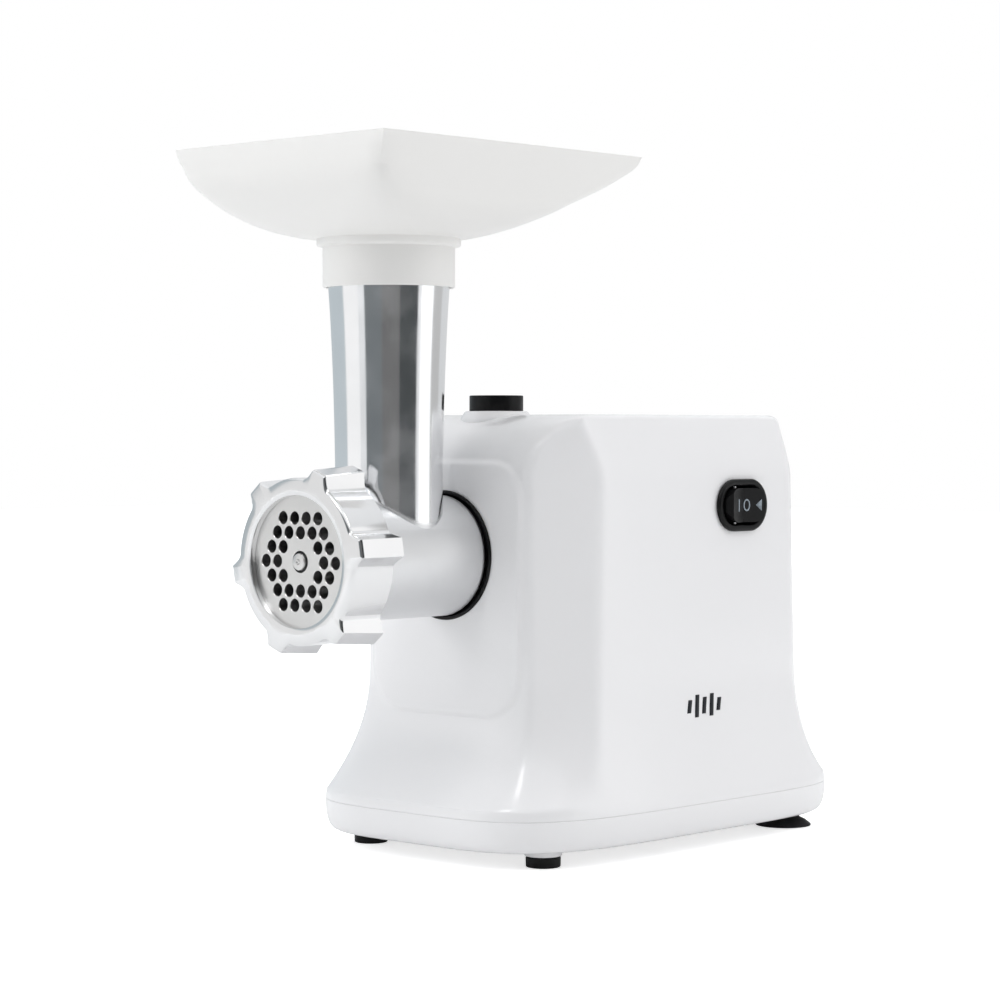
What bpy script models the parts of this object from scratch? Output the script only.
"""Electric meat grinder with a hopper tray, a cast grinding head, a gear train and a motor.

Lengths are in millimetres, and make() turns them into metres. Z is up, the head points
along -Y, X = 0 is the middle plane and the feet stand on Z = 0. The origin is under the
middle of the whole machine's box.
"""

import math

import bmesh
import bpy

MM = 0.001
GAP = 0.3

# Grinding head
HEAD_Z = 119.7
NUT_FRONT = -127.7
NUT_REAR = -108.0
NUT_LIP = 2.7
NUT_OPENING_R = 25.0
NUT_R = 31.8
NUT_LUG_R = 35.8
NUT_LUGS = 6
NUT_LUG_ANGLE = 9.5
PLATE_R = 27.0
PLATE_THICKNESS = 5.0
PLATE_HOLE_R = 2.45
PLATE_HOLE_PITCH = 6.34
PLATE_CENTRE_R = 4.2
BELL_R = 29.0
TUBE_R = 24.0
AUGER_BORE_R = 21.0
SPIGOT_R = 20.9
SPIGOT_REAR = -31.0
NECK_Y = -77.7
NECK_TOP = 237.5
AUGER_R = 20.4
AUGER_TWIST = 30.0

# Hopper tray
TRAY_TOP = 277.3
COLLAR_R = 25.7
COLLAR_BOTTOM = 224.4
COLLAR_TOP = 240.3
FLANGE_R = 28.0
THROAT_R = 21.2
TRAY_WALL = 2.2

# Casing
FRONT = -45.0
REAR = 111.0
HALF_WIDTH = 60.0
CASING_TOP = 175.5
CASING_SEAM = 19.6
FRONT_ROUND = 28.0
SIDE_SLANT = 6.3
TAPER = 0.02
WALL = 2.5
BASE_Y = 31.0
BASE_HALF_WIDTH = 70.0
BASE_FRONT_REACH = 101.0
BASE_REAR_REACH = 105.5
BASE_FRONT_POWER = 4.05
BASE_REAR_POWER = 5.2
RIM_BULGE = 0.5
FLARE_TOP = 70.0
FLARE_BOTTOM = 23.5
FLARE_POWER = 2.1
PANEL_X = 17.6
PANEL_Y = 25.8
PANEL_ROUND = 4.0
TRAY_FLOOR_BOTTOM = 7.0
TRAY_FLOOR_TOP = 10.0

# Release button, lock lever and head socket
BUTTON_Y = -16.5
BUTTON_R = 10.9
BUTTON_TOP = 183.3
POCKET_R = 11.2
POCKET_FLOOR = 171.0
LEVER_Y = -27.0
LEVER_Z = 158.0
SOCKET_R = 27.0
SOCKET_FRONT = -42.0
SOCKET_BACK = -26.6
LUG_ANGLES = (30.0, 150.0, 270.0)
TWIST = 30.0

# Switch on the right side
SWITCH_Y = 66.4
SWITCH_Z = 138.4
ROCKER_X = 57.0

# Gear train: module, pinion teeth, gear teeth, and where each stage lies along Y
OUTPUT_STAGE = (1.25, 11, 45, -22.4, -10.4)
MIDDLE_STAGE = (1.0, 12, 45, -8.0, -0.6)
FIRST_STAGE = (0.8, 10, 48, 2.0, 8.0)
PRESSURE_ANGLE = math.radians(20)
BACKLASH = 0.14
GEARBOX_FRONT = -26.0
GEARBOX_SPLIT = 10.0
PIN_R = 2.5
EARS = ((24.4, 144.1), (-24.4, 144.1), (-15.0, 54.5), (16.0, 58.0))

# Motor
STATOR = (36.0, 76.0)
STATOR_HALF = 30.0
STATOR_CHAMFER = 8.0
STATOR_BORE_R = 20.6
SHAFT_R = 3.0
BEARING_R = 8.0
MOTOR_SCREW = 24.0

# Feet and base screws
FRONT_FEET = (47.6, -41.0)
REAR_FEET = (47.6, 113.0)
BASE_SCREWS = ((55.5, 18.0), (55.5, 92.0))


def clear_scene():
    for item in list(bpy.data.objects):
        bpy.data.objects.remove(item, do_unlink=True)


def material(name, colour, roughness, metallic=0.0):
    made = bpy.data.materials.new(name)
    made.use_nodes = True
    shader = made.node_tree.nodes["Principled BSDF"]
    shader.inputs["Base Color"].default_value = (*colour, 1.0)
    shader.inputs["Roughness"].default_value = roughness
    shader.inputs["Metallic"].default_value = metallic
    made.diffuse_color = (*colour, 1.0)
    return made


def make(name, verts, faces, finish, origin=(0.0, 0.0, 0.0)):
    """A named object whose own origin is at origin."""
    mesh = bpy.data.meshes.new(name)
    build = bmesh.new()
    corners = [build.verts.new([(v - o) * MM for v, o in zip(vert, origin)]) for vert in verts]
    for face in faces:
        build.faces.new([corners[i] for i in face])
    bmesh.ops.recalc_face_normals(build, faces=build.faces)
    build.to_mesh(mesh)
    build.free()
    mesh.shade_smooth()
    mesh.set_sharp_from_angle(angle=math.radians(35))
    item = bpy.data.objects.new(name, mesh)
    item.location = [o * MM for o in origin]
    bpy.context.scene.collection.objects.link(item)
    if finish is not None:
        mesh.materials.append(finish)
    return item


def loft(rings, closed=False):
    """Faces between rings of equally many points: capped at both ends, or closed on itself."""
    count = len(rings[0])
    verts = [point for ring in rings for point in ring]
    faces = []
    steps = len(rings) if closed else len(rings) - 1
    for k in range(steps):
        here = k * count
        there = ((k + 1) % len(rings)) * count
        for i in range(count):
            j = (i + 1) % count
            faces.append((here + i, here + j, there + j, there + i))
    if not closed:
        faces.append(tuple(range(count)))
        faces.append(tuple(range((len(rings) - 1) * count, len(rings) * count)))
    return verts, faces


def circle(radius, count, phase=0.0):
    turn = 2 * math.pi / count
    return [(radius * math.cos(phase + i * turn), radius * math.sin(phase + i * turn)) for i in range(count)]


def place(points, axis, along, centre):
    """Flat points set at a distance along an axis; centre is the axis's place on the other two."""
    a, b = centre
    if axis == "X":
        return [(along, a + u, b + v) for u, v in points]
    if axis == "Y":
        return [(a + u, along, b + v) for u, v in points]
    return [(a + u, b + v, along) for u, v in points]


def axis_origin(axis, along, centre):
    return place([(0.0, 0.0)], axis, along, centre)[0]


def turned(name, profile, axis, centre, finish, count=16, hollow=False, origin=None):
    """A profile of (radius, distance along the axis) turned round the axis."""
    rings = [place(circle(radius, count), axis, along, centre) for radius, along in profile]
    verts, faces = loft(rings, closed=hollow)
    if origin is None:
        origin = axis_origin(axis, profile[0][1], centre)
    return make(name, verts, faces, finish, origin)


def extruded(name, outline, axis, span, centre, finish, origin=None):
    rings = [place(outline, axis, along, centre) for along in span]
    verts, faces = loft(rings)
    if origin is None:
        origin = axis_origin(axis, span[0], centre)
    return make(name, verts, faces, finish, origin)


def box(name, low, high, finish, origin=None):
    outline = [(low[0], low[1]), (high[0], low[1]), (high[0], high[1]), (low[0], high[1])]
    centre = [(a + b) / 2 for a, b in zip(low, high)] if origin is None else origin
    return extruded(name, outline, "Z", (low[2], high[2]), (0.0, 0.0), finish, centre)


def sector(name, radii, angles, axis, span, centre, finish=None, count=6, origin=None):
    """A block between two radii and two angles in degrees."""
    steps = [math.radians(angles[0] + (angles[1] - angles[0]) * i / count) for i in range(count + 1)]
    outer = [(radii[1] * math.cos(t), radii[1] * math.sin(t)) for t in steps]
    inner = [(radii[0] * math.cos(t), radii[0] * math.sin(t)) for t in reversed(steps)]
    return extruded(name, outer + inner, axis, span, centre, finish, origin)


def boolean(target, tool, operation):
    tool.hide_render = True
    tool.display_type = "WIRE"
    step = target.modifiers.new(tool.name, "BOOLEAN")
    step.operation = operation
    step.solver = "EXACT"
    step.object = tool


def cut(target, *tools):
    for tool in tools:
        boolean(target, tool, "DIFFERENCE")


def join(target, *tools):
    for tool in tools:
        boolean(target, tool, "UNION")


def hull(points):
    """The convex outline round flat points, counter-clockwise."""
    ordered = sorted(set(points))
    sides = []
    for chain in (ordered, ordered[::-1]):
        side = []
        for p in chain:
            while len(side) > 1 and turn(side[-2], side[-1], p) <= 0:
                side.pop()
            side.append(p)
        sides += side[:-1]
    return sides


def turn(a, b, c):
    return (b[0] - a[0]) * (c[1] - a[1]) - (b[1] - a[1]) * (c[0] - a[0])


def stadium(half_length, half_height, count=8):
    """A slot outline, long in its first direction."""
    straight = half_length - half_height
    right = [-math.pi / 2 + math.pi * i / count for i in range(count + 1)]
    ends = [(straight + half_height * math.cos(t), half_height * math.sin(t)) for t in right]
    return ends + [(-u, -v) for u, v in ends]


# ---------------------------------------------------------------- casing


def mirrored(half):
    """A whole outline from its +X half, which starts and ends on X = 0."""
    return half + [(-x, y) for x, y in reversed(half[1:-1])]


def arc_inset(reach, rise):
    """How far a quarter-round edge has drawn in at a share of its height."""
    return reach * (1 - math.sqrt(max(1 - rise * rise, 0.0)))


def share_above(level, start, height):
    return min(max((level - start) / height, 0.0), 1.0)


def upper_outline(level, wall, edge=0.0):
    """Casing outline at a height, drawn in by a wall thickness; edge rounds the top edge off."""
    spread = TAPER * (150.0 - min(level, 150.0))
    slant = SIDE_SLANT * share_above(level, 150.0, 25.5) ** 1.5
    side = HALF_WIDTH + spread - slant - wall - edge
    fillet = arc_inset(FRONT_ROUND - wall, share_above(level, 151.5, 24.0 - wall))
    front = FRONT - spread / 2 + fillet + wall
    rear = REAR + spread / 2 - slant - wall - edge
    rise = share_above(level + wall, 146.0, 28.0)
    panel_x = PANEL_X - 13.0 * rise**2.2
    panel_y = PANEL_Y - 25.0 * rise**2.6 - 2 * spread
    corner = 15.0 - 6.0 * rise**2.5
    half = [(0.0, front), ((side - panel_x) * 0.35, front), ((side - panel_x) * 0.7, front)]
    width = math.hypot(panel_x, panel_y)
    reach = min(PANEL_ROUND, 0.45 * width)
    pull = reach / 4
    ahead, lean, back = (1.0, 0.0), (panel_x / width, panel_y / width), (0.0, 1.0)
    for x, y, before, after in ((side - panel_x, front, ahead, lean), (side, front + panel_y, lean, back)):
        half.append((x - reach * before[0], y - reach * before[1]))
        half.append((x + pull * (after[0] - before[0]), y + pull * (after[1] - before[1])))
        half.append((x + reach * after[0], y + reach * after[1]))
    start = front + panel_y + reach
    stop = rear - corner
    half += [(side, start + (stop - start) * i / 4) for i in (1, 2, 3)]
    for i in range(4):
        t = math.pi / 2 * i / 3
        half.append((side - corner + corner * math.cos(t), stop + corner * math.sin(t)))
    half += [((side - corner) * share, rear) for share in (0.7, 0.35, 0.0)]
    return mirrored(half)


def base_point(x, y, inset):
    """The base's oval outline, met from the middle in the direction of a casing point."""
    angle = math.atan2(y - BASE_Y, x)
    length, power = (BASE_FRONT_REACH, BASE_FRONT_POWER) if angle < 0 else (BASE_REAR_REACH, BASE_REAR_POWER)
    wide = abs(math.cos(angle)) / (BASE_HALF_WIDTH - inset)
    deep = abs(math.sin(angle)) / (length - inset)
    reach = (wide**power + deep**power) ** (-1 / power)
    return (reach * math.cos(angle), BASE_Y + reach * math.sin(angle))


def flared_outline(level, inset):
    depth = (FLARE_TOP - level) / (FLARE_TOP - FLARE_BOTTOM)
    blend = min(max(depth, 0.0), 1.0) ** FLARE_POWER
    ring = []
    for x, y in upper_outline(level, inset):
        bx, by = base_point(x, y, inset)
        ring.append((x + (bx - x) * blend, y + (by - y) * blend))
    return ring


def casing_skin(levels, top_levels, wall):
    rings = [place(flared_outline(level, wall), "Z", level, (0.0, 0.0)) for level in levels]
    for level, edge in top_levels:
        rings.append(place(upper_outline(level, wall, edge), "Z", level, (0.0, 0.0)))
    return rings


def main_casing(finish):
    outer_levels = (FLARE_BOTTOM, 26.5, 31.0, 37.0, 45.0, 54.0, FLARE_TOP, 95.0, 125.0)
    outer_top = [(level, 0.0) for level in (151.5, 158.0, 164.0, 169.0, 172.5)]
    outer_top += [(174.6, 0.5), (CASING_TOP, 2.2)]
    outer = casing_skin(outer_levels, outer_top, 0.0)
    inner_top = ((151.5, 0.0), (162.0, 0.0), (169.5, 0.0), (CASING_TOP - WALL, 1.0))
    inner = casing_skin((FLARE_BOTTOM, 31.0, 45.0, FLARE_TOP, 110.0), inner_top, WALL)
    seam_outer = place(flared_outline(FLARE_BOTTOM, -RIM_BULGE), "Z", CASING_SEAM, (0.0, 0.0))
    seam_inner = place(flared_outline(FLARE_BOTTOM, WALL - RIM_BULGE), "Z", CASING_SEAM, (0.0, 0.0))
    verts, faces = loft([*reversed(inner), seam_inner, seam_outer, *outer])
    middle = (0.0, BASE_Y, 0.0)
    casing = make("main_casing", verts, faces, finish, middle)
    profile = ((14.6, 168.8), (14.6, 173.5), (13.4, 175.6), (12.6, 177.0))
    join(casing, turned("pedestal", profile, "Z", (0.0, BUTTON_Y), finish, 28))
    for name, x, y in base_screw_places():
        join(casing, turned("post" + name, ((4.5, 10.3), (4.5, 80.0)), "Z", (x, y), finish, 12))
        cut(casing, turned("pilot" + name, ((1.7, 10.0), (1.7, 44.0)), "Z", (x, y), None, 12))
    cut(casing, turned("pocket", ((POCKET_R, POCKET_FLOOR), (POCKET_R, 180.0)), "Z", (0.0, BUTTON_Y), None, 28))
    cut(casing, turned("stem_hole", ((3.4, 166.0), (3.4, 172.0)), "Z", (0.0, BUTTON_Y), None, 12))
    cut(casing, turned("head_hole", ((25.2, -60.0), (25.2, -40.0)), "Y", (0.0, HEAD_Z), None, 32))
    slot = stadium(14.7, 9.3)
    cut(casing, extruded("switch_hole", slot, "X", (52.0, 70.0), (SWITCH_Y, SWITCH_Z), None))
    cut(casing, turned("cord_hole", ((5.8, 100.0), (5.8, 120.0)), "Y", (-30.0, 90.0), None, 16))


def base_screw_places():
    for name, (x, y) in zip(("front", "rear"), BASE_SCREWS):
        yield f"_{name}_left", -x, y
        yield f"_{name}_right", x, y


def foot_places(spot):
    yield "left", -spot[0], spot[1]
    yield "right", spot[0], spot[1]


def base_tray(finish):
    top = CASING_SEAM - GAP
    outer = ((TRAY_FLOOR_BOTTOM, 2.5), (8.0, 1.2), (11.0, 0.3), (15.0, -RIM_BULGE), (top, -RIM_BULGE))
    inner = ((top, WALL - RIM_BULGE), (TRAY_FLOOR_TOP, WALL + 1.0))
    rings = [place(flared_outline(FLARE_BOTTOM, inset), "Z", z, (0.0, 0.0)) for z, inset in outer + inner]
    verts, faces = loft(rings)
    tray = make("base_tray", verts, faces, finish, (0.0, BASE_Y, 0.0))
    for side, x, y in foot_places(FRONT_FEET):
        join(tray, turned("boss_" + side, ((7.2, 4.4), (7.2, 8.0)), "Z", (x, y), finish, 20))
    join(tray, box("cradle", (-18.0, 44.0, 9.0), (18.0, 68.0, 28.6), finish))
    cut(tray, box("cradle_hollow", (-15.0, 47.0, 11.0), (15.0, 65.0, 30.0), None))
    for side, x, y in (*foot_places(FRONT_FEET), *foot_places(REAR_FEET)):
        hole = turned(f"foot_hole_{side}_{y:.0f}", ((3.0, 3.0), (3.0, 12.0)), "Z", (x, y), None, 12)
        cut(tray, hole)
    for name, x, y in base_screw_places():
        cut(tray, turned("sink" + name, ((3.5, 6.0), (3.5, 8.9)), "Z", (x, y), None, 12))
        cut(tray, turned("pass" + name, ((1.8, 8.0), (1.8, 11.0)), "Z", (x, y), None, 12))
    for i in range(5):
        y = 76.0 + 7.0 * i
        cut(tray, box(f"vent_{i}", (-20.0, y, 6.0), (20.0, y + 3.0, 11.0), None))


def base_fixings(steel, rubber):
    for name, x, y in base_screw_places():
        profile = ((3.1, 7.4), (3.1, 8.6), (1.4, 8.6), (1.4, 42.0))
        turned("base_screw" + name, profile, "Z", (x, y), steel, 12)
    for side, x, y in foot_places(FRONT_FEET):
        profile = ((6.0, 0.0), (6.8, 0.6), (6.8, 4.1), (2.6, 4.1), (2.6, 9.6))
        turned("front_foot_" + side, profile, "Z", (x, y), rubber, 20)
    for side, x, y in foot_places(REAR_FEET):
        cup = ((4.0, 1.6), (11.0, 1.2), (11.7, 0.0), (11.9, 0.7), (9.5, 2.6), (6.9, 3.8))
        cup += ((6.7, 6.6), (2.6, 6.6), (2.6, 9.6))
        turned("suction_foot_" + side, cup, "Z", (x, y), rubber, 20)


# ---------------------------------------------------------------- release button and lock


def release_button(finish, steel, lever_finish):
    spot = (0.0, BUTTON_Y)
    cap = (
        (1.2, 160.9),
        (3.0, 162.7),
        (3.0, 180.9),
        (8.6, 180.9),
        (8.6, 176.4),
        (BUTTON_R - 0.2, 176.4),
        (BUTTON_R, 177.2),
        (BUTTON_R, 182.6),
        (BUTTON_R - 0.7, BUTTON_TOP),
    )
    turned("release_button", cap, "Z", spot, finish, 24)
    coil("button_spring", 5.4, 0.4, (POCKET_FLOOR + 0.3, 180.6), 3, spot, steel)
    outline = ((-35.2, 141.4), (-32.8, 141.4), (-32.2, 156.0), (-14.0, 157.0), (-14.0, 160.3), (-36.5, 160.3))
    lever = extruded("latch_lever", outline, "X", (-3.0, 3.0), (0.0, 0.0), lever_finish, (0.0, LEVER_Y, LEVER_Z))
    cut(lever, turned("lever_eye", ((1.5, -6.0), (1.5, 6.0)), "X", (LEVER_Y, LEVER_Z), None, 12))
    turned("latch_pin", ((1.2, -8.5), (1.2, 8.5)), "X", (LEVER_Y, LEVER_Z), steel, 12)
    bracket = box("latch_bracket", (-7.0, -30.0, 153.2), (7.0, -19.0, 161.0), steel)
    cut(bracket, box("bracket_gap", (-4.0, -32.0, 154.1), (4.0, -17.0, 163.0), None))
    cut(bracket, turned("bracket_eyes", ((1.5, -10.0), (1.5, 10.0)), "X", (LEVER_Y, LEVER_Z), None, 12))


def coil(name, radius, wire, span, turns, centre, finish):
    """A spring of round wire, closed by a flat end at each end of its helix."""
    steps = turns * 10
    rings = []
    for k in range(steps + 1):
        angle = 2 * math.pi * k / 10
        middle = span[0] + wire + (span[1] - span[0] - 2 * wire) * k / steps
        ring = []
        for i in range(4):
            around = math.pi / 2 * i
            reach = radius + wire * math.cos(around)
            x = centre[0] + reach * math.cos(angle)
            y = centre[1] + reach * math.sin(angle)
            ring.append((x, y, middle + wire * math.sin(around)))
        rings.append(ring)
    verts, faces = loft(rings)
    return make(name, verts, faces, finish, (*centre, span[0]))


def head_socket(finish, ring_finish):
    centre = (0.0, HEAD_Z)
    profile = (
        (SOCKET_R, SOCKET_FRONT),
        (SOCKET_R, SOCKET_BACK),
        (13.2, SOCKET_BACK),
        (13.2, SOCKET_BACK - 2.7),
        (23.8, SOCKET_BACK - 2.7),
        (23.8, -38.0),
        (21.3, -38.0),
        (21.3, SOCKET_FRONT),
    )
    socket = turned("head_socket", profile, "Y", centre, finish, 36, hollow=True)
    for i, angle in enumerate(LUG_ANGLES):
        span = (angle + TWIST - 12.5, angle + TWIST + 12.5)
        cut(socket, sector(f"lug_way_{i}", (20.0, 24.2), span, "Y", (-43.0, -37.5), centre))
    cut(socket, box("tooth_slot", (-3.8, -40.7, 137.0), (3.8, -31.5, 150.0), None))
    lip = ((24.9, -46.0), (24.9, -42.3), (21.4, -42.3), (21.4, -46.0))
    turned("socket_ring", lip, "Y", centre, ring_finish, 32, hollow=True)


# ---------------------------------------------------------------- switch and cord inlet


def switch(bezel_finish, rocker_finish, steel):
    spot = (SWITCH_Y, SWITCH_Z)
    bezel = extruded("switch_bezel", stadium(16.0, 10.75), "X", (60.6, 62.4), spot, bezel_finish)
    join(bezel, extruded("switch_throat", stadium(14.4, 9.0), "X", (48.0, 61.5), spot, bezel_finish))
    cut(bezel, extruded("switch_well", stadium(13.4, 8.0), "X", (50.0, 66.0), spot, None))
    reach = 12.9
    sides = [math.radians(a) for a in (-14, 0, 14, 28, 38)]
    right = [(ROCKER_X + reach * math.sin(t), reach * math.cos(t)) for t in sides]
    outline = [(x, SWITCH_Y + y) for x, y in right] + [(ROCKER_X + 4.9, SWITCH_Y)]
    outline += [(x, SWITCH_Y - y) for x, y in reversed(right)]
    span = (SWITCH_Z - 8.0, SWITCH_Z + 8.0)
    rocker = extruded("switch_rocker", outline, "Z", span, (0.0, 0.0), rocker_finish, (ROCKER_X, SWITCH_Y, SWITCH_Z))
    boolean(rocker, extruded("rocker_outline", stadium(12.3, 7.0), "X", (50.0, 70.0), spot, None), "INTERSECT")
    hinge = (ROCKER_X, SWITCH_Y)
    cut(rocker, turned("rocker_eye", ((1.3, 125.0), (1.3, 150.0)), "Z", hinge, None, 12))
    turned("rocker_pin", ((1.0, SWITCH_Z - 7.8), (1.0, SWITCH_Z + 7.8)), "Z", hinge, steel, 12)


def cord_inlet(finish):
    profile = ((7.6, 114.0), (8.0, 113.2), (8.0, 112.2), (5.5, 112.2), (5.5, 105.0), (3.6, 105.0), (3.6, 114.0))
    turned("cord_inlet_bush", profile, "Y", (-30.0, 90.0), finish, 16, hollow=True)


# ---------------------------------------------------------------- grinding head


def head_housing(finish):
    centre = (0.0, HEAD_Z)
    tube = (
        (BELL_R, -124.2),
        (BELL_R, -109.0),
        (TUBE_R, -107.0),
        (TUBE_R, -49.6),
        (23.4, -48.2),
        (SPIGOT_R, -47.5),
        (SPIGOT_R, SPIGOT_REAR),
    )
    head = turned("head_housing", tube, "Y", centre, finish, 32)
    neck = ((21.2, HEAD_Z), (21.0, 155.0), (21.7, 189.0), (23.0, 216.0), (23.9, 224.0), (23.9, NECK_TOP))
    join(head, turned("neck", neck, "Z", (0.0, NECK_Y), finish, 28))
    for i, angle in enumerate(LUG_ANGLES):
        span = (angle - 10.0, angle + 10.0)
        join(head, sector(f"lug_{i}", (19.5, 23.3), span, "Y", (-37.6, -33.6), centre, finish))
    bore = (
        (27.3, -126.0),
        (27.3, -119.6),
        (25.6, -119.6),
        (25.6, -112.8),
        (AUGER_BORE_R, -112.8),
        (AUGER_BORE_R, -52.0),
    )
    cut(head, turned("auger_bore", bore, "Y", centre, None, 28))
    shank = ((11.9, -54.0), (11.9, -47.2), (9.3, -47.2), (9.3, -44.0))
    cut(head, turned("shank_bore", shank, "Y", centre, None, 20))
    cut(head, turned("spigot_hollow", ((17.5, -45.5), (17.5, -28.0)), "Y", centre, None, 20))
    throat = ((18.0, 122.0), (18.0, 160.0), (19.0, 195.0), (21.4, 224.0), (21.4, 240.0))
    cut(head, turned("throat", throat, "Z", (0.0, NECK_Y), None, 24))


def nut_outline(count, inset):
    """The ring nut's outline: a round rim with smooth lugs standing out of it."""
    pitch = 360.0 / NUT_LUGS
    points = []
    for i in range(count):
        angle = 360.0 * i / count
        away = abs((angle - NUT_LUG_ANGLE + pitch / 2) % pitch - pitch / 2)
        rise = min(max((13.5 - away) / 8.5, 0.0), 1.0)
        smooth = rise * rise * (3 - 2 * rise)
        reach = NUT_R + (NUT_LUG_R - NUT_R) * smooth - inset
        points.append((reach * math.cos(math.radians(angle)), reach * math.sin(math.radians(angle))))
    return points


def ring_nut(finish):
    count = 60
    centre = (0.0, HEAD_Z)
    lip_back = NUT_FRONT + NUT_LIP
    skins = ((nut_outline(count, 0.0), NUT_REAR), (nut_outline(count, 0.0), NUT_FRONT + 3.5))
    skins += ((nut_outline(count, 1.2), NUT_FRONT + 1.0), (nut_outline(count, 3.6), NUT_FRONT))
    skins += ((circle(NUT_OPENING_R, count), NUT_FRONT),)
    skins += ((circle(NUT_OPENING_R, count), lip_back), (circle(BELL_R + 0.4, count), lip_back))
    skins += ((circle(BELL_R + 0.4, count), NUT_REAR),)
    verts, faces = loft([place(points, "Y", y, centre) for points, y in skins], closed=True)
    make("ring_nut", verts, faces, finish, (0.0, NUT_REAR, HEAD_Z))


def hex_grid(rings):
    """Places of a hexagonal grid, by ring number round the middle."""
    for a in range(-3, 4):
        for b in range(-3, 4):
            ring = max(abs(a), abs(b), abs(a + b))
            if ring in rings:
                yield PLATE_HOLE_PITCH * (a + b / 2), PLATE_HOLE_PITCH * b * math.sqrt(3) / 2


def joined_cylinders(name, places, radius, span, centre, count):
    verts = []
    faces = []
    for u, v in places:
        spot = (centre[0] + u, centre[1] + v)
        rings = [place(circle(radius, count), "Y", y, spot) for y in span]
        more_verts, more_faces = loft(rings)
        faces += [tuple(i + len(verts) for i in face) for face in more_faces]
        verts += more_verts
    return make(name, verts, faces, None)


def cutting_plate(finish):
    centre = (0.0, HEAD_Z)
    front = NUT_FRONT + NUT_LIP + 0.1
    back = front + PLATE_THICKNESS
    profile = ((PLATE_R - 0.5, front), (PLATE_R, front + 0.5), (PLATE_R, back - 0.5), (PLATE_R - 0.5, back))
    plate = turned("cutting_plate", profile, "Y", centre, finish, 36)
    span = (front - 1.0, back + 1.0)
    cut(plate, joined_cylinders("plate_holes", hex_grid((2, 3)), PLATE_HOLE_R, span, centre, 8))
    cut(plate, turned("plate_centre", ((PLATE_CENTRE_R, span[0]), (PLATE_CENTRE_R, span[1])), "Y", centre, None, 16))


def cutting_knife(finish):
    """A four-bladed cross, flat towards the plate, with a square eye for the auger's nose."""
    outline = []
    for k in range(4):
        for reach, angle in ((24.0, -9.0), (24.5, 3.0), (8.6, 24.0), (8.6, 66.0)):
            t = math.radians(90.0 * k + angle)
            outline.append((reach * math.cos(t), reach * math.sin(t)))
    back = NUT_FRONT + NUT_LIP + 0.1 + PLATE_THICKNESS
    span = (back + GAP, back + 4.6)
    knife = extruded("cutting_knife", outline, "Y", span, (0.0, HEAD_Z), finish)
    eye = circle(6.2, 4, math.pi / 4)
    cut(knife, extruded("knife_eye", eye, "Y", (span[0] - 1.0, span[1] + 1.0), (0.0, HEAD_Z), None))


def screw_section(core, flight, angle, count=16):
    """The auger's cross-section: a round core with one flight, turned by an angle in degrees."""
    lobe = 6
    points = []
    for i in range(lobe):
        t = math.radians(angle - 33.0 + 66.0 * i / (lobe - 1))
        reach = core if i in (0, lobe - 1) else flight
        points.append((reach * math.cos(t), reach * math.sin(t)))
    rest = count - lobe
    for i in range(rest):
        t = math.radians(angle + 33.0 + 294.0 * (i + 1) / (rest + 1))
        points.append((core * math.cos(t), core * math.sin(t)))
    return points


def auger(finish):
    """Square nose, three turns of flight, a round hub and a six-sided shank, in one casting."""
    centre = (0.0, HEAD_Z)
    front = -112.2
    length = 58.0
    steps = 34
    rings = [(screw_section(7.5, 7.5, 0.0), front - 0.1)]
    for k in range(steps + 1):
        share = k / steps
        core = 7.5 + 3.0 * share
        rings.append((screw_section(core, AUGER_R, -AUGER_TWIST * k), front + length * share))
    angle = -AUGER_TWIST * steps
    rings.append((screw_section(11.0, 11.0, angle), front + length + 0.1))
    rings.append((screw_section(11.0, 11.0, angle), -52.6))
    rings.append((screw_section(8.9, 8.9, angle), -52.5))
    rings.append((screw_section(8.9, 8.9, angle), -32.0))
    verts, faces = loft([place(points, "Y", y, centre) for points, y in rings])
    body = make("auger", verts, faces, finish, (0.0, front, HEAD_Z))
    nose = circle(5.8, 4, math.pi / 4)
    join(body, extruded("auger_nose", nose, "Y", (-119.2, -111.0), centre, finish))
    join(body, turned("auger_pin", ((3.2, -125.6), (3.8, -125.0), (3.8, -118.0)), "Y", centre, finish, 20))
    join(body, extruded("auger_shank", circle(7.1, 6), "Y", (-33.0, -16.0), centre, finish))


def auger_bush(finish):
    profile = ((11.6, -51.7), (11.6, -47.5), (9.2, -47.5), (9.2, -51.7))
    turned("auger_bush", profile, "Y", (0.0, HEAD_Z), finish, 24, hollow=True)


# ---------------------------------------------------------------- hopper tray


def tray_outline(half_x, front, rear, power, count=32):
    """A rounded rectangle whose corners sharpen with its power, centred on the bowl."""
    middle = (front + rear) / 2
    half_y = (rear - front) / 2
    points = []
    for i in range(count):
        t = 2 * math.pi * i / count
        c = math.cos(t)
        s = math.sin(t)
        wide = (abs(c) ** power + abs(s) ** power) ** (-1 / power)
        points.append((half_x * wide * c, middle + half_y * wide * s))
    return points


BOWL = (
    (TRAY_TOP, 57.2, -137.0, 7.3, 80.0),
    (272.0, 56.0, -136.8, 4.0, 45.0),
    (265.0, 53.9, -135.4, -7.4, 25.0),
    (259.0, 51.6, -131.5, -19.0, 15.0),
    (253.0, 48.6, -124.5, -30.5, 9.0),
    (247.8, 43.0, -115.5, -41.5, 6.0),
    (244.6, 35.5, -108.5, -47.5, 3.5),
    (243.2, FLANGE_R, NECK_Y - FLANGE_R, NECK_Y + FLANGE_R, 2.0),
)


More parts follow.
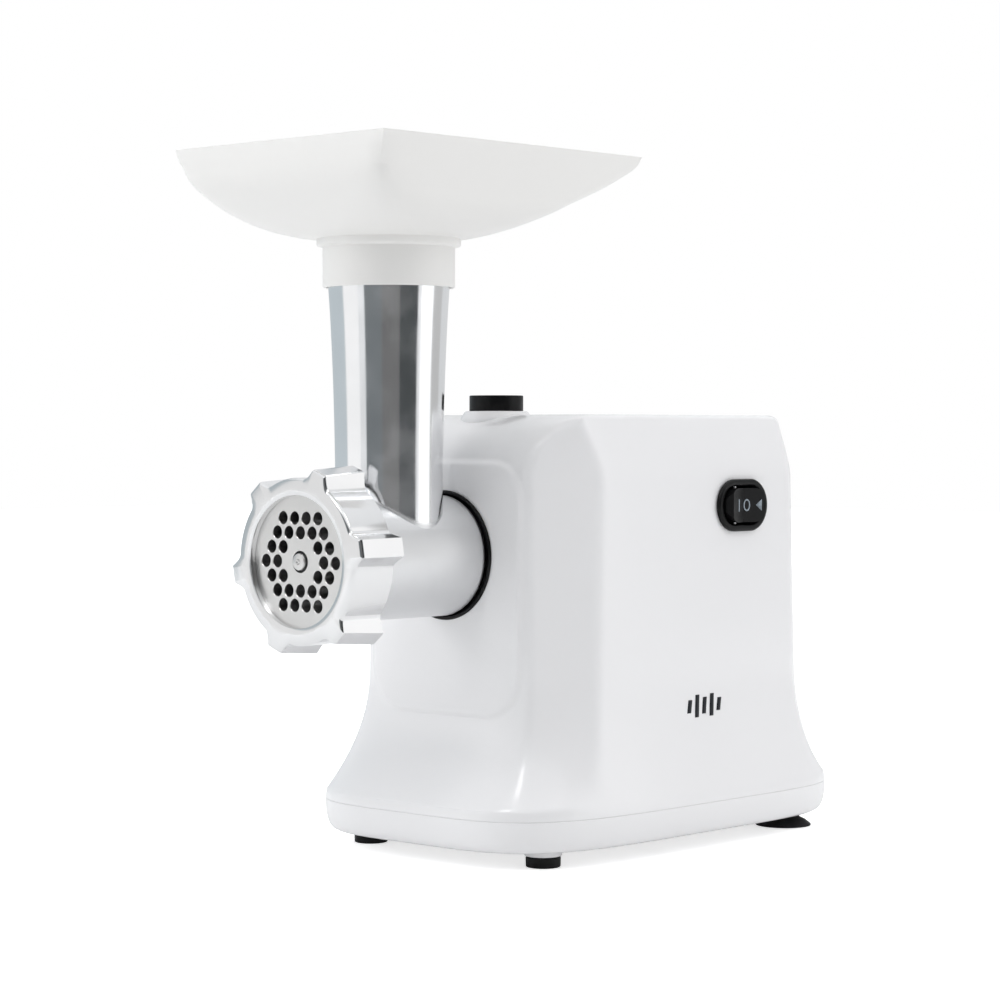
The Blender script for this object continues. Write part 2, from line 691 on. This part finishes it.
def feed_tray(finish):
    count = 32
    spot = (0.0, NECK_Y)
    rings = [place(tray_outline(hx, f, r, n), "Z", z, (0.0, 0.0)) for z, hx, f, r, n in BOWL]
    for radius, z in ((FLANGE_R, COLLAR_TOP + 0.4), (COLLAR_R, COLLAR_TOP), (COLLAR_R, COLLAR_BOTTOM)):
        rings.append(place(circle(radius, count), "Z", z, spot))
    for radius, z in ((24.3, COLLAR_BOTTOM), (24.3, 238.0), (THROAT_R, 238.0), (THROAT_R, 244.5)):
        rings.append(place(circle(radius, count), "Z", z, spot))
    wall = TRAY_WALL
    for z, hx, f, r, n in reversed(BOWL[:-1]):
        lift = wall * min(1.0, (TRAY_TOP - z) / 12.0)
        rings.append(place(tray_outline(hx - wall, f + wall, r - wall, n), "Z", z + lift, (0.0, 0.0)))
    verts, faces = loft(rings, closed=True)
    make("feed_tray", verts, faces, finish, (0.0, NECK_Y, COLLAR_BOTTOM))


# ---------------------------------------------------------------- gear train


def shaft_places():
    """Axes of the output, second layshaft, first layshaft and motor, in X and Z."""
    module, pinion, gear = OUTPUT_STAGE[:3]
    reach = module * (pinion + gear) / 2
    second = (-24.0, HEAD_Z - math.sqrt(reach * reach - 24.0 * 24.0))
    module, pinion, gear = MIDDLE_STAGE[:3]
    reach = module * (pinion + gear) / 2
    first = (2.0, second[1] - math.sqrt(reach * reach - 26.0 * 26.0))
    module, pinion, gear = FIRST_STAGE[:3]
    reach = module * (pinion + gear) / 2
    motor = (0.0, first[1] - math.sqrt(reach * reach - 2.0 * 2.0))
    return (0.0, HEAD_Z), second, first, motor


def involute(angle):
    return math.tan(angle) - angle


def gear_outline(module, teeth, phase, tip):
    """Involute teeth, one of them centred on phase (radians)."""
    pitch_r = module * teeth / 2
    base_r = pitch_r * math.cos(PRESSURE_ANGLE)
    root_r = pitch_r - 1.25 * module
    tip_r = pitch_r + tip * module
    half = math.pi / (2 * teeth) - BACKLASH * module / (2 * pitch_r)
    radii = (root_r, pitch_r, tip_r) if teeth < 20 else (root_r, tip_r)
    flank = []
    for radius in radii:
        slope = math.acos(base_r / max(radius, base_r))
        flank.append((radius, half + involute(PRESSURE_ANGLE) - involute(slope)))
    points = []
    for k in range(teeth):
        middle = phase + 2 * math.pi * k / teeth
        for radius, away in flank:
            points.append((radius * math.cos(middle - away), radius * math.sin(middle - away)))
        for radius, away in reversed(flank):
            points.append((radius * math.cos(middle + away), radius * math.sin(middle + away)))
    return points


def mesh_phase(here, there, teeth_here, teeth_there, phase_here):
    """The phase that puts a gear's gap on its neighbour's tooth, along the line between them."""
    line = math.atan2(there[1] - here[1], there[0] - here[0])
    share = ((line - phase_here) * teeth_here / (2 * math.pi)) % 1.0
    return line + math.pi - (0.5 - share) * 2 * math.pi / teeth_there


def gear(name, module, teeth, phase, span, centre, bore, finish, tip=0.9):
    outline = gear_outline(module, teeth, phase, tip)
    wheel = extruded(name, outline, "Y", span, centre, finish)
    hole = turned(name + "_bore", ((bore, span[0] - 1.0), (bore, span[1] + 1.0)), "Y", centre, None, 12)
    cut(wheel, hole)
    return wheel


def gear_train(steel, nylon):
    output, second, first, motor = shaft_places()
    module, small, large, y0, y1 = OUTPUT_STAGE
    gear("output_gear", module, large, 0.0, (y0, y1), output, 10.9, nylon)
    phase = mesh_phase(output, second, large, small, 0.0)
    gear("third_stage_pinion", module, small, phase, (y0, -8.3), second, PIN_R + GAP, steel)
    module, small, large, y0, y1 = MIDDLE_STAGE
    gear("second_stage_gear", module, large, 0.0, (y0, y1), second, PIN_R + GAP, nylon)
    phase = mesh_phase(second, first, large, small, 0.0)
    gear("second_stage_pinion", module, small, phase, (y0, 1.7), first, PIN_R + GAP, steel)
    module, small, large, y0, y1 = FIRST_STAGE
    gear("first_stage_gear", module, large, 0.0, (y0, y1), first, PIN_R + GAP, nylon)
    phase = mesh_phase(first, motor, large, small, 0.0)
    gear("motor_pinion", module, small, phase, (y0, y1), motor, 1.9, steel)
    turned("second_layshaft_pin", ((PIN_R, -23.2), (PIN_R, GEARBOX_SPLIT)), "Y", second, steel, 16)
    turned("first_layshaft_pin", ((PIN_R, -23.2), (PIN_R, GEARBOX_SPLIT)), "Y", first, steel, 16)
    profile = ((10.0, -28.8), (10.0, -9.4), (5.0, -9.4), (5.0, 12.8))
    shaft = turned("output_shaft", profile, "Y", output, steel, 18)
    cut(shaft, extruded("shaft_socket", circle(7.5, 6), "Y", (-30.0, -15.0), output, None))
    bush = ((12.0, -28.4), (12.0, -23.2), (10.3, -23.2), (10.3, -28.4))
    turned("output_bush", bush, "Y", output, steel, 18, hollow=True)


def gearbox_outline(extra, ears):
    output, second, first, motor = shaft_places()
    points = []
    for spot, radius in ((output, 30.5), (second, 24.6), (first, 21.2), (motor, 8.0)):
        points += [(spot[0] + u, spot[1] + v) for u, v in circle(radius + extra, 20)]
    for spot in ears:
        points += [(spot[0] + u, spot[1] + v) for u, v in circle(4.6, 8)]
    return hull(points)


def gearbox(finish, steel):
    output = shaft_places()[0]
    motor = shaft_places()[3]
    shell = gearbox_outline(2.4, EARS)
    origin = (0.0, GEARBOX_FRONT, HEAD_Z)
    housing = extruded("gearbox_housing", shell, "Y", (GEARBOX_FRONT, GEARBOX_SPLIT), (0.0, 0.0), finish, origin)
    room = gearbox_outline(0.0, ())
    cut(housing, extruded("gearbox_room", room, "Y", (-23.5, 12.0), (0.0, 0.0), None))
    cut(housing, turned("bush_seat", ((12.3, -28.0), (12.3, -22.0)), "Y", output, None, 24))
    cover_span = (GEARBOX_SPLIT + GAP, GEARBOX_SPLIT + GAP + 3.0)
    cover = extruded("gearbox_cover", shell, "Y", cover_span, (0.0, 0.0), finish, (0.0, cover_span[0], HEAD_Z))
    join(cover, turned("bearing_boss", ((11.0, 11.0), (11.0, 16.8)), "Y", motor, finish, 20))
    cut(cover, turned("bearing_seat", ((BEARING_R + GAP, 5.0), (BEARING_R + GAP, 20.0)), "Y", motor, None, 20))
    cut(cover, turned("journal_seat", ((5.3, 5.0), (5.3, 20.0)), "Y", output, None, 16))
    for i, ear in enumerate(EARS[:3]):
        cut(cover, turned(f"ear_{i}", ((1.8, 5.0), (1.8, 20.0)), "Y", ear, None, 10))
        cut(housing, turned(f"ear_pilot_{i}", ((1.8, -6.0), (1.8, 12.0)), "Y", ear, None, 10))
        profile = ((3.0, 15.6), (3.0, 13.6), (1.5, 13.6), (1.5, -4.0))
        turned(f"gearbox_screw_{i + 1}", profile, "Y", ear, steel, 10)
    for x in (-MOTOR_SCREW, MOTOR_SCREW):
        spot = (x, motor[1] + MOTOR_SCREW)
        cut(cover, turned(f"motor_screw_hole_{x:.0f}", ((1.9, 5.0), (1.9, 20.0)), "Y", spot, None, 10))


# ---------------------------------------------------------------- motor


def chamfered_square(half, chamfer):
    flat = half - chamfer
    right = [(flat, -half), (half, -flat), (half, flat), (flat, half)]
    return right + [(-x, -y) for x, y in right]


def motor_stator(core_finish, copper):
    motor = shaft_places()[3]
    stator = extruded("motor_stator", chamfered_square(STATOR_HALF, STATOR_CHAMFER), "Y", STATOR, motor, core_finish)
    cut(stator, turned("stator_bore", ((STATOR_BORE_R, 30.0), (STATOR_BORE_R, 80.0)), "Y", motor, None, 28))
    for side, angle in (("right", 0.0), ("left", 180.0)):
        span = (angle - 56.5, angle + 56.5)
        cut(stator, sector("slot_" + side, (19.0, 26.8), span, "Y", (30.0, 80.0), motor, None, 8))
        span = (angle - 55.0, angle + 55.0)
        sector("field_coil_" + side, (21.2, 26.4), span, "Y", (31.0, 81.0), motor, copper, 8)
    for x in (-MOTOR_SCREW, MOTOR_SCREW):
        spot = (x, motor[1] + MOTOR_SCREW)
        cut(stator, turned(f"stator_hole_{x:.0f}", ((2.0, 30.0), (2.0, 80.0)), "Y", spot, None, 10))


def armature(steel, copper, core_finish, nylon):
    motor = shaft_places()[3]
    shaft = ((1.6, 1.8), (1.6, 9.5), (SHAFT_R, 9.5), (SHAFT_R, 106.0))
    turned("motor_shaft", shaft, "Y", motor, steel, 16)
    bore = SHAFT_R + GAP
    slots = 12
    outline = []
    for k in range(slots):
        for reach, away in ((19.6, -11.0), (19.6, 5.0), (15.5, 7.0), (15.5, 17.0)):
            t = math.radians(360.0 * k / slots + away)
            outline.append((reach * math.cos(t), reach * math.sin(t)))
    core = extruded("armature_core", outline, "Y", (38.0, 74.0), motor, core_finish)
    cut(core, turned("core_bore", ((bore, 30.0), (bore, 80.0)), "Y", motor, None, 16))
    for name, y0, y1 in (("front", 31.5, 37.7), ("rear", 74.3, 81.0)):
        profile = ((14.0, y0), (16.5, y0 + 1.5), (16.5, y1 - 1.0), (15.5, y1), (bore, y1), (bore, y0))
        turned("armature_winding_" + name, profile, "Y", motor, copper, 14, hollow=True)
    segments = ((9.5, 85.5), (9.5, 97.5), (bore, 97.5), (bore, 85.5))
    turned("commutator", segments, "Y", motor, copper, 14, hollow=True)
    blades = []
    for k in range(9):
        for reach, away in ((26.0, 0.0), (26.0, 5.0), (9.0, 14.0), (9.0, 26.0)):
            t = math.radians(40.0 * k + away)
            blades.append((reach * math.cos(t), reach * math.sin(t)))
    fan = extruded("cooling_fan", blades, "Y", (19.5, 27.0), motor, nylon)
    cut(fan, turned("fan_bore", ((bore, 15.0), (bore, 30.0)), "Y", motor, None, 16))


def motor_supports(steel, finish, carbon):
    motor = shaft_places()[3]
    bore = SHAFT_R + GAP
    for name, y0 in (("front", 10.8), ("rear", 100.2)):
        profile = ((BEARING_R, y0), (BEARING_R, y0 + 5.0), (bore, y0 + 5.0), (bore, y0))
        turned(name + "_bearing", profile, "Y", motor, steel, 14, hollow=True)
    outline = chamfered_square(STATOR_HALF - 1.0, STATOR_CHAMFER)
    bracket = extruded("motor_end_bracket", outline, "Y", (98.5, 101.5), motor, finish)
    join(bracket, turned("bracket_hub", ((11.0, 99.0), (11.0, 106.0)), "Y", motor, finish, 20))
    cut(bracket, turned("hub_bore", ((BEARING_R + GAP, 95.0), (BEARING_R + GAP, 110.0)), "Y", motor, None, 20))
    for side, x in (("left", -MOTOR_SCREW), ("right", MOTOR_SCREW)):
        spot = (x, motor[1] + MOTOR_SCREW)
        cut(bracket, turned("screw_hole_" + side, ((1.9, 95.0), (1.9, 105.0)), "Y", spot, None, 10))
        profile = ((3.0, 104.0), (3.0, 101.8), (1.6, 101.8), (1.6, 10.6))
        turned("motor_screw_" + side, profile, "Y", spot, steel, 10)
        turn_sign = x / MOTOR_SCREW
        low = min(9.8 * turn_sign, 24.0 * turn_sign)
        high = max(9.8 * turn_sign, 24.0 * turn_sign)
        box("carbon_brush_" + side, (low, 88.0, motor[1] - 3.0), (high, 95.0, motor[1] + 3.0), carbon)


def main():
    clear_scene()
    white = material("gloss_white", (0.84, 0.84, 0.86), 0.18)
    tray_white = material("tray_white", (0.84, 0.83, 0.81), 0.35)
    black = material("black_plastic", (0.015, 0.015, 0.017), 0.3)
    rubber = material("black_rubber", (0.02, 0.02, 0.02), 0.7)
    cast = material("polished_aluminium", (0.80, 0.80, 0.80), 0.15, 1.0)
    steel = material("steel", (0.62, 0.62, 0.63), 0.3, 1.0)
    nylon = material("nylon", (0.80, 0.78, 0.70), 0.5)
    copper = material("copper_winding", (0.55, 0.22, 0.10), 0.4, 0.8)
    iron = material("laminated_iron", (0.25, 0.25, 0.27), 0.5, 0.9)
    grey = material("grey_plastic", (0.35, 0.36, 0.38), 0.5)
    main_casing(white)
    base_tray(white)
    base_fixings(steel, rubber)
    release_button(black, steel, grey)
    head_socket(grey, black)
    switch(black, black, steel)
    cord_inlet(black)
    head_housing(cast)
    ring_nut(cast)
    cutting_plate(steel)
    cutting_knife(steel)
    auger(cast)
    auger_bush(nylon)
    feed_tray(tray_white)
    gear_train(steel, nylon)
    gearbox(grey, steel)
    motor_stator(iron, copper)
    armature(steel, copper, iron, nylon)
    motor_supports(steel, grey, black)


main()
